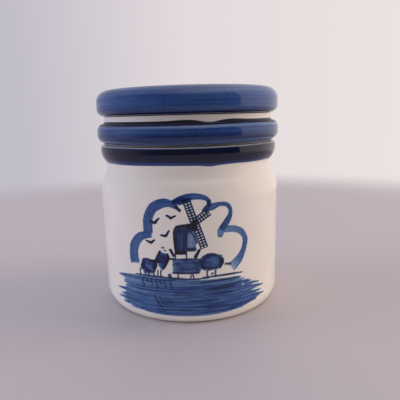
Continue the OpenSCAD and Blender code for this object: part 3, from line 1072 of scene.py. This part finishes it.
# %% Mill
MILL_WASH = (
    (1.0, (-0.6, 34.6, 1.6), (1.4, 34.4, 1.5)),
    (0.52, (-0.4, 33.2, 1.5), (-0.2, 30.5, 1.7), (0.1, 27.8, 1.8)),
    (0.75, (-1.3, 34, 0.9), (-1.3, 30.5, 0.8), (-1.2, 27.6, 0.8)),
    (0.6, (0.9, 33.6, 1), (1.2, 31, 1.2), (1.2, 28, 1)),
    (0.9, (-1.9, 35.4, 1.5), (-2.2, 31, 1.6), (-2.2, 26.6, 1.5)),
    (0.8, (-3, 35.4, 1.6), (-3.5, 31, 1.8), (-3.5, 26.6, 1.7)),
    (1.0, (-4.1, 35.3, 1.4), (-4.8, 31, 1.7), (-4.6, 26.6, 1.5)),
)
MILL_LINES = (
    (0.25, (-4.5, 34.9, 1.4), (-1.5, 35, 1.5), (0.7, 34.7, 1.3)),
    (0.4, (-4.8, 33.7, 1.2), (-2, 33.8, 1.2), (0, 33.7, 0.8)),
    (0.4, (-4.9, 33, 1.1), (-5, 30, 1.2), (-4.8, 27, 1.1)),
    (0.3, (-3.3, 33, 0.8), (-3.6, 30, 0.8), (-3.6, 27, 0.9)),
    (0.45, (-2.2, 33, 0.6), (-2.4, 30, 0.6), (-2.4, 27, 0.7)),
    (0.65, (-1.3, 33, 0.6), (-1.6, 31, 0.6), (-1.6, 28, 0.5)),
    (0.45, (0.1, 33.4, 0.5), (1.1, 32.2, 0.5), (1.7, 30.8, 0.5), (2, 29.6, 0.4)),
    (1.1, (-4.7, 26.5, 1.1), (-2, 26.5, 1.1)),
    (0.5, (-0.9, 27.5, 1.2), (1.2, 27.6, 1.3)),
    (1.1, (-4.8, 35.4, 0.4), (-3, 35.8, 0.5), (-0.8, 36, 0.7), (0.4, 35.8, 0.9), (1.2, 35.4, 1.1)),
    (0.7, (-0.8, 35.3, 1.3), (0.6, 35.1, 1.4), (1.6, 34.4, 1)),
    (1.2, (1.3, 37, 1.3), (1.6, 36, 1.4)),
    (1.0, (-4.9, 35.3, 0.5), (-5.6, 33.6, 0.5), (-5.5, 30, 0.5), (-5.1, 26.2, 0.6)),
)
GALLERY = (
    (0.7, (-7, 27.4, 0.8), (-6, 25.4, 0.8)),
    (0.7, (2.8, 27.2, 0.8), (1.5, 25, 1.1)),
    (0.6, (-5.4, 26, 0.45), (-5.4, 24, 0.35)),
    (0.6, (-1.6, 26.4, 0.4), (-1.6, 24, 0.3)),
    (0.6, (1.6, 25.5, 0.45), (1.6, 24, 0.35)),
    (0.6, (-7.2, 24.3, 0.5), (-5.4, 24, 0.5)),
)
draw(MILL_WASH, 130, "cobalt", 3, pool=0.1)
draw(MILL_LINES, 150, hair=0.3)
draw(GALLERY, 170, soft=0.2)
print("mill of", len(MILL_WASH), "washes and", len(MILL_LINES) + len(GALLERY), "lines")

# %% Sails of the mill
# Each sail: foot and tip of its spar
SAILS = (((1.45, 36.5), (-1.25, 44.6)), ((1.5, 36.9), (4.5, 28.1)), ((1.5, 37), (6.1, 40.1)))
SAIL_WIDTH = 2.3
SAIL_CELL = 0.95
SAIL_BAR = 0.37
SAIL_SOFT = 0.14
SAIL_MARGIN = 0.5
SAIL_DARK = 0.65
SAIL_BLUE = 1.1
SAIL_WASH = 0.08


def lattice(foot, tip):
    """A mill's sail: a middle spar, two outer rails and rungs at an even spacing, over a thin wash."""
    length = math.dist(foot, tip)
    ax = (tip[0] - foot[0]) / length
    ay = (tip[1] - foot[1]) / length
    across = side_ware.across - foot[0]
    up = side_ware.up - foot[1]
    along = across * ax + up * ay
    off = abs(up * ax - across * ay)
    where = (along > -SAIL_MARGIN) & (along < length + SAIL_MARGIN) & (off < SAIL_WIDTH / 2 + SAIL_MARGIN)
    along = along[where]
    off = off[where]
    rails = np.minimum(off, abs(off - SAIL_WIDTH / 2))
    rungs = abs(along / SAIL_CELL - np.round(along / SAIL_CELL)) * SAIL_CELL
    ends = np.minimum(along, length - along) + SAIL_BAR / 2
    edge = np.minimum(ends, SAIL_WIDTH / 2 + SAIL_BAR / 2 - off)
    sail = soft_step(edge / SAIL_SOFT + 0.5)
    bars = sail * soft_step((SAIL_BAR / 2 - np.minimum(rails, rungs)) / SAIL_SOFT + 0.5)
    side_ware.lay_on("outline", where, bars * SAIL_DARK)
    side_ware.lay_on("cobalt", where, np.maximum(bars * SAIL_BLUE, sail * SAIL_WASH))


for foot, tip in SAILS:
    lattice(foot, tip)
print("mill with", len(SAILS), "sails")

# %% Shore and reflections
SHORE = (
    (0.5, (-21, 17.4, 0.35), (-12, 17.5, 0.5), (0, 17, 0.5), (6, 17.3, 0.4)),
    (0.5, (4, 17.5, 0.3), (13, 17.6, 0.5), (18.7, 17.4, 0.3)),
    (0.3, (-20, 16.6, 0.25), (-13, 16.4, 0.45), (-6, 16.4, 0.25)),
)
# Each reflection: place across and low end
REFLECTIONS = ((-17.9, 13.2), (-16, 15), (-14.4, 14.1), (-12.4, 13), (-11.1, 15), (-9.4, 14.1), (-7.2, 13.2))
REFLECTION_TOP = 16.2
# Each slanted mark: load and points
HATCHING = (
    (0.4, (-13.8, 10.6, 0.3), (-12.4, 8.4, 0.6), (-10.9, 6.4, 0.4)),
    (0.35, (-11.6, 10, 0.25), (-10.6, 8.6, 0.5), (-9.7, 7.4, 0.3)),
    (0.35, (-9.9, 9.7, 0.25), (-9.2, 8.7, 0.5), (-8.5, 7.8, 0.3)),
    (0.3, (-8.4, 9.5, 0.25), (-7.8, 8.8, 0.45), (-7.2, 8.2, 0.25)),
)
draw(SHORE, 410)
for i, (x, low) in enumerate(REFLECTIONS):
    fall = REFLECTION_TOP - low
    wavy = [(x, REFLECTION_TOP, 0.3), (x - 0.25, REFLECTION_TOP - 0.4 * fall, 0.5)]
    wavy += [(x + 0.3, REFLECTION_TOP - 0.8 * fall, 0.45), (x, low, 0.2)]
    side_ware.brush(wavy, 0.35, "outline", soft=0.4, seed=420 + i)
draw(HATCHING, 430, soft=0.4)
print("shore done: most outline", round(side_ware.pigment["outline"].max(), 2))

# %% [markdown]
# ## Bands
# The collar and the lid's rings are banded on the wheel: the piece turns while a full brush is held still.
# That leaves fine streaks along the turn, an edge that wanders a little, and more pigment where the brush
# was set down and lifted. A band is therefore placed by the length along the section, not by height, and
# its edges are sums of slow waves round the turn, so that they meet themselves at the back.

# %% Bands on the wheel
WAVES = (1, 2, 3, 5, 8)


def wander(turn, seed):
    """A slow wave round the piece, from about -1 to 1, that closes on itself."""
    rng = np.random.default_rng(seed)
    total = np.zeros(turn.shape)
    for wave in WAVES:
        total += np.sin(wave * turn + rng.uniform(0, 2 * np.pi)) / wave**0.7
    return total / 2


def between(run, start, end, soft):
    """1 between two lengths along the section, with soft edges."""
    return soft_step((run - start) / soft + 0.5) * soft_step((end - run) / soft + 0.5)


def streaks(run, turn, spacing, seed):
    """Streaks along the turn from 0 to 1, each about as wide as spacing, that change slowly round it."""
    ring = np.cos(turn) * 1.3 + np.sin(turn) * 0.9
    return hills(run / spacing + 11, ring * 2 + 30, seed)


print("edges wander in", len(WAVES), "waves, up to", max(WAVES), "in a turn")

# %% Collar and foot of the jar
COLLAR_EDGE_Z = 55.35
# Each rise or dip of the band's lower edge: its turn, half width and height
COLLAR_WAVES = ((-0.25, 0.35, 0.2), (0.5, 0.12, 0.15), (0.22, 0.09, -0.4), (1, 0.3, 0.1))
# How far above the collar band's lower edge the black starts: partly dark pigment, partly painted shade
BLACK_ABOVE_EDGE = 1.1
RIM_BREAK_HALF = 0.43
RIM_THIN_HALF = 0.3
FOOT_THIN_HALF = 0.6
MOST_ON_JAR = 2.4


def bump(turn, middle, half, height):
    """A rise or dip of an edge at one place of the turn."""
    return height * bell(turn - middle, half)


collar_z = COLLAR_EDGE_Z + 0.06 * wander(jar_turn, 3)
for wave in COLLAR_WAVES:
    collar_z = collar_z + bump(jar_turn, *wave)
upper_side = (jar_along > jar_spans["neck"][0]) & (jar_along < jar_spans["rim"][1])
edge_run = jar_along + (collar_z - jar_z)
top_run = jar_spans["rim_round"][1] + 0.3 + 0.12 * wander(jar_turn, 4)
# Over the collar's upper part, under the lid's rings, a black band is laid: partly dark pigment and partly
# painted shade
black_run = edge_run + BLACK_ABOVE_EDGE + 0.2 * wander(jar_turn, 6)
collar_streak = streaks(jar_along, jar_turn, 0.5, 5) - 0.5
blue = upper_side * between(jar_along, edge_run, top_run, 0.25)
black = upper_side * between(jar_along, black_run, top_run, BLACK_ABOVE_EDGE)

# Glaze runs off a sharp edge in the kiln, so the rim's round shows a thin paler line
rim_middle = sum(jar_spans["rim_round"]) / 2
rim_break = RIM_BREAK_HALF - bump(jar_turn, 0.9, 0.4, 0.13)
worn = 1 - bell(jar_along - rim_middle, rim_break)

bands = {"cobalt": blue * worn * (1.4 + 0.4 * collar_streak)}
# The dark pigment here is the collar's black band, partly painted shade under the lid
bands["outline"] = black * worn * (0.75 + 0.3 * collar_streak)
for kind, band in bands.items():
    band[front] += side_ware.pigment[kind]
    store(jar.data, kind, np.clip(band, 0, MOST_ON_JAR))
foot_edge = jar_spans["foot"][1] + 0.35 + 0.25 * wander(jar_turn, 7)
thin = bell(jar_along - rim_middle, RIM_THIN_HALF) + bell(jar_along - foot_edge, FOOT_THIN_HALF)
store(jar.data, "bare", between(jar_along, jar_spans["foot"][0] - 0.3, foot_edge, 0.3))
store(jar.data, "thin", 0.7 * np.clip(thin, 0, 1))
print("collar painted down to", round(float(collar_z.min()), 2), "mm at its lowest")

# %% [markdown]
# ## Lid
# The lid was cast as one piece: two rounded rings with a groove between them, a nearly flat top, and a
# hollow plug that goes into the mouth. Both rings are banded in cobalt and a dark line is run round in the
# corner of the groove, while the groove itself, the underside and the plug stay white.

# %% Lid sizes
LID_Z = 62.2
LOWER_RING_R = 35.0
LOWER_RING_H = 7.3
LOWER_ROUND = 2.9
GROOVE_R = 32.25
GROOVE_H = 2.6
UPPER_RING_R = 34.8
UPPER_RING_H = 9.5
UPPER_UNDER_ROUND = 2.7
UPPER_TOP_ROUND = 4.4
DOME_R = 800.0
LID_TOP_T = 4.4
PLUG_R = 25.2
PLUG_Z = 51.6
PLUG_WALL = 4.2
LIP_R = 0.8
LIP_MIDDLE = 25.1
HOLLOW_ROUND = 3.0
GROOVE_FILLET = 0.45
LOWER_OVER_TURN = 80
UPPER_UNDER_TURN = 79
PLUG_EDGE_ROUND = 0.7
PLUG_EDGE_STOP = 0.8

lower_top = LID_Z + LOWER_RING_H
upper_low = lower_top + GROOVE_H
upper_top = upper_low + UPPER_RING_H
hollow_r = PLUG_R - PLUG_WALL
hollow_top = upper_top - LID_TOP_T
lower_middle = LOWER_RING_R - LOWER_ROUND
under_middle = UPPER_RING_R - UPPER_UNDER_ROUND
round_r = UPPER_RING_R - UPPER_TOP_ROUND
round_z = upper_top - UPPER_TOP_ROUND
dome_z = round_z - math.sqrt((DOME_R - UPPER_TOP_ROUND) ** 2 - round_r**2)
dome_turn = math.degrees(math.atan2(round_z - dome_z, round_r))
lip_turn = math.degrees(math.acos((PLUG_R - LIP_MIDDLE) / LIP_R))
print("lid: groove from", round(lower_top, 2), "to", round(upper_low, 2), "mm")

# %% Lid section
low_arc = arc((lower_middle, lower_top - LOWER_ROUND), LOWER_ROUND, 0, LOWER_OVER_TURN, 0.12)
under_z = upper_low + UPPER_UNDER_ROUND
high_arc = arc((under_middle, under_z), UPPER_UNDER_ROUND, -UPPER_UNDER_TURN, 0, 0.12)
low_corner = (GROOVE_R, lower_top)
high_corner = (GROOVE_R, upper_low)
low_fillet = eased(low_arc[-1], low_corner, high_corner, GROOVE_FILLET, 0.08)
high_fillet = eased(low_corner, high_corner, high_arc[0], GROOVE_FILLET, 0.08)

lid_points, lid_run, lid_spans = section(
    hollow_top=straight((0, hollow_top), (hollow_r - HOLLOW_ROUND, hollow_top), 3),
    hollow_round=arc((hollow_r - HOLLOW_ROUND, hollow_top - HOLLOW_ROUND), HOLLOW_ROUND, 90, 0, 0.5),
    hollow=straight((hollow_r, hollow_top - HOLLOW_ROUND), (hollow_r, PLUG_Z + PLUG_EDGE_STOP), 3),
    plug_edge=eased((hollow_r, LID_Z), (hollow_r, PLUG_Z), (LIP_MIDDLE, PLUG_Z), PLUG_EDGE_ROUND, 0.15),
    plug_end=straight((hollow_r + PLUG_EDGE_STOP, PLUG_Z), (LIP_MIDDLE, PLUG_Z), 0.8),
    lip=arc((LIP_MIDDLE, PLUG_Z + LIP_R), LIP_R, -90, lip_turn, 0.15),
    plug=straight((PLUG_R, PLUG_Z + 2 * LIP_R), (PLUG_R, LID_Z), 2),
    underside=straight((PLUG_R, LID_Z), (lower_middle, LID_Z), 1),
    lower_under=arc((lower_middle, LID_Z + LOWER_ROUND), LOWER_ROUND, -90, 0, 0.2),
    lower_side=straight((LOWER_RING_R, LID_Z + LOWER_ROUND), (LOWER_RING_R, lower_top - LOWER_ROUND), 0.25),
    lower_over=low_arc,
    low_fillet=low_fillet,
    groove=straight(low_fillet[-1], high_fillet[0], 0.1),
    high_fillet=high_fillet,
    upper_under=high_arc,
    upper_side=straight((UPPER_RING_R, under_z), (UPPER_RING_R, round_z), 0.25),
    upper_over=arc((round_r, round_z), UPPER_TOP_ROUND, 0, dome_turn, 0.25),
    top=arc((0, dome_z), DOME_R, dome_turn, 90, 0.5),
)
lid_columns = turn_marks(front_half=50, front_step=0.6, back_step=1)
lid = turn_piece("glazed_lid", lid_points, lid_run, lid_columns, lid_glaze)
print("lid holds", round(volume_of(lid.data)), "mm3 of clay")

# %% Lid bands
# Each rise or dip of the dark line's top: its turn, half width and height
LINE_WAVES = ((-0.02, 0.16, 0.3), (0.22, 0.11, -0.62), (0.5, 0.15, 0.3))
BAND_SOFT = 0.2
LINE_SOFT = 0.3

lid_along = values_of(lid.data, "run")
lid_turn = turn_of(lid.data)


def lid_at(stretch, share):
    """Length along the lid's section at a share of one stretch."""
    start, end = lid_spans[stretch]
    return start + share * (end - start)


# The lower band starts under the ring and ends in the dark line in the groove's corner, which dips in front
line_top = lid_at("low_fillet", 1) + 0.13 + 0.04 * wander(lid_turn, 21)
for wave in LINE_WAVES:
    line_top = line_top + bump(lid_turn, *wave)
line_low = lid_at("lower_over", 0.5) + 0.15 * wander(lid_turn, 22) + bump(lid_turn, 0.6, 0.35, 0.6)
band_low = lid_at("lower_under", 0) + 0.1 * wander(lid_turn, 23)
upper_edge = lid_at("high_fillet", 0.35) + 0.05 * wander(lid_turn, 24)

lower_band = between(lid_along, band_low, line_top, BAND_SOFT)
dark_line = between(lid_along, line_low, line_top, LINE_SOFT)
upper_band = soft_step((lid_along - upper_edge) / BAND_SOFT + 0.5)
streak = 0.6 * streaks(lid_along, lid_turn, 0.7, 25) + 0.4 * streaks(lid_along, lid_turn, 0.3, 26)
print("dark line on the lid:", round(float((line_top - line_low).mean()), 2), "mm wide")

# %% Pigment on the lid
MOST_COBALT_ON_LID = 2.2
MOST_OUTLINE_ON_LID = 1.6


def laid(*marks):
    """Pigment that changes along the section. Each mark is a stretch, a share of it and the amount there."""
    places = [lid_at(stretch, share) for stretch, share, _ in marks]
    return np.interp(lid_along, places, [amount for *_, amount in marks])


# Under the dark line the cobalt is paler: partly thinner pigment, partly a painted highlight where the
# ring's top catches the light
pale_cobalt_and_painted_highlight = 0.35 * bell(lid_along - line_low + 0.45, 0.4)
load = 1 + bump(lid_turn, 0.1, 0.5, 0.15) + 0.6 * (streak - 0.5)
cobalt = (lower_band + upper_band) * load - lower_band * pale_cobalt_and_painted_highlight + dark_line

# The glaze draws back from the lowest edge of the lid, and the pigment with it
cobalt = cobalt * laid(("lower_under", 0, 0.3), ("lower_under", 0.3, 0.38), ("lower_under", 0.75, 1))

# Wet pigment runs down each ring and dries darkest at its lower edge. Part of this darkening is painted
# shade on the lower, downward-facing part of each ring
pooled_pigment_and_painted_shade = laid(
    ("lower_under", 0, 0.2), ("lower_under", 1, 0.3), ("lower_side", 0.5, 0.12), ("lower_over", 0.25, 0),
    ("lower_over", 0.5, 0), ("high_fillet", 0, 0.9), ("upper_under", 0.3, 0.55), ("upper_under", 0.6, 0.2),
    ("upper_side", 0, 0.08), ("upper_side", 0.6, 0.02), ("upper_over", 0, 0),
)
outline = (lower_band + upper_band) * pooled_pigment_and_painted_shade * (0.7 + 0.6 * streak)
outline = outline + dark_line * (0.22 + 0.2 * (streak - 0.5))
clay_end = lid_at("lower_under", 0.02)
store(lid.data, "cobalt", np.clip(cobalt, 0, MOST_COBALT_ON_LID))
store(lid.data, "outline", np.clip(outline, 0, MOST_OUTLINE_ON_LID))
# Pigment this thick doesn't melt into the glaze, so the line stays dull
store(lid.data, "dull", dark_line)
store(lid.data, "bare", between(lid_along, lid_at("underside", 0.45), clay_end, 0.3))
store(lid.data, "thin", 0.6 * bell(lid_along - clay_end, 0.5))
print("lid banded: cobalt", round(float(cobalt.min()), 2), "to", round(float(cobalt.max()), 2))

# %% [markdown]
# ## Seal
# A soft ring sits on the lid's plug. Its fins bend against the mouth and its flange keeps glaze from
# grinding on glaze. It is moulded silicone, so every edge has the small round of the mould. The section is
# a closed loop of corners, each eased by a fraction of a millimetre.

# %% Silicone
# Light goes a few millimetres into silicone, so it looks pale on the white plug and grey in a dark seam. Its
# grey is partly the silicone's own and partly painted shade for the seam, darker than clear silicone would
# be.
# It is cloudy in patches of about 5 mm, and the mould leaves a fine matt tooth, drawn coarse enough to show
LIGHT_DEPTH = 3 * MM
CLOUDY_SIZE = 5 * MM
TOOTH_SIZE = 0.3 * MM
TOOTH_HEIGHT = 0.03 * MM
SILICONE_IOR = 1.41

silicone, tree = blank("Translucent_silicone_moulded")
place = add(tree, "ShaderNodeTexCoord", out="Object")
cloudy = add(tree, "ShaderNodeTexNoise", {"Vector": place, "Scale": 1 / CLOUDY_SIZE, "Detail": 3})
# The seal's cloudy grey, partly painted shade for the seam
silicone_grey_and_seam_shade = stops(add(tree, "ShaderNodeValToRGB", {0: cloudy}), (0.3, "#999A95"), (0.7, "#AAABA6"))
tooth = add(tree, "ShaderNodeTexNoise", {"Vector": place, "Scale": 1 / TOOTH_SIZE, "Detail": 2})
dusty = add(tree, "ShaderNodeMapRange", {"Value": tooth, "To Min": 0.38, "To Max": 0.6})
grip = add(tree, "ShaderNodeBump", {"Height": tooth, "Strength": 0.3, "Distance": TOOTH_HEIGHT})
soft_skin = {
    "Base Color": silicone_grey_and_seam_shade,
    "Roughness": dusty,
    "Normal": grip,
    "IOR": SILICONE_IOR,
    "Subsurface Weight": 1.0,
    "Subsurface Radius": (1, 1, 1),
    "Subsurface Scale": LIGHT_DEPTH,
}
add(tree, "ShaderNodeOutputMaterial", {"Surface": add(tree, "ShaderNodeBsdfPrincipled", soft_skin)})
print("silicone:", silicone.name)

# %% Seal ring
SLEEVE_IN = 25.3
SLEEVE_OUT = 26.7
SLEEVE_Z = 53.3
FIN_R = 27.95
FIN_FIRST_Z = 53.8
FIN_PITCH = 2.85
FIN_COUNT = 3
FIN_RISE = 0.8
FIN_ROOT = 0.5
FIN_TIP = 0.25
FLANGE_R = rim_r - 0.5
SEAL_ROUND = 0.14
SEAL_STEP = 1.2

corners = [(SLEEVE_IN, SLEEVE_Z)]
for i in range(FIN_COUNT):
    root = FIN_FIRST_Z + i * FIN_PITCH
    tip = root + FIN_RISE
    corners += [(SLEEVE_OUT, root - FIN_ROOT), (FIN_R, tip - FIN_TIP)]
    corners += [(FIN_R, tip + FIN_TIP), (SLEEVE_OUT, root + FIN_ROOT)]
corners += [(SLEEVE_OUT, JAR_H), (FLANGE_R, JAR_H), (FLANGE_R, LID_Z), (SLEEVE_IN, LID_Z)]
stretches = {}
for i, corner in enumerate(corners):
    after = corners[(i + 1) % len(corners)]
    stretches["corner_" + str(i)] = eased(corners[i - 1], corner, after, SEAL_ROUND, 0.06)
stretches["closing"] = stretches["corner_0"][:1]
seal_points, seal_run, _ = section(**stretches)
seal = turn_piece("silicone_seal", seal_points, seal_run, turn_marks(1, SEAL_STEP, SEAL_STEP), silicone)
print("seal holds", round(volume_of(seal.data)), "mm3 of silicone")

# %% [markdown]
# ## Into the frame
# Each turned piece stands for the solid of the same place, so it hides that solid and moves with its
# body. The lengths that only the painting needed are removed.

# %% Frame and end
PIECES = ((jar, "jar", "jar_glaze"), (lid, "lid", "lid_glaze"), (seal, "seal_ring", "seal_silicone"))
for piece, body, slot_name in PIECES:
    piece.data.attributes.remove(piece.data.attributes["run"])
    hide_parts(body)
    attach(piece, body)

scene.view_settings.view_transform = "Standard"
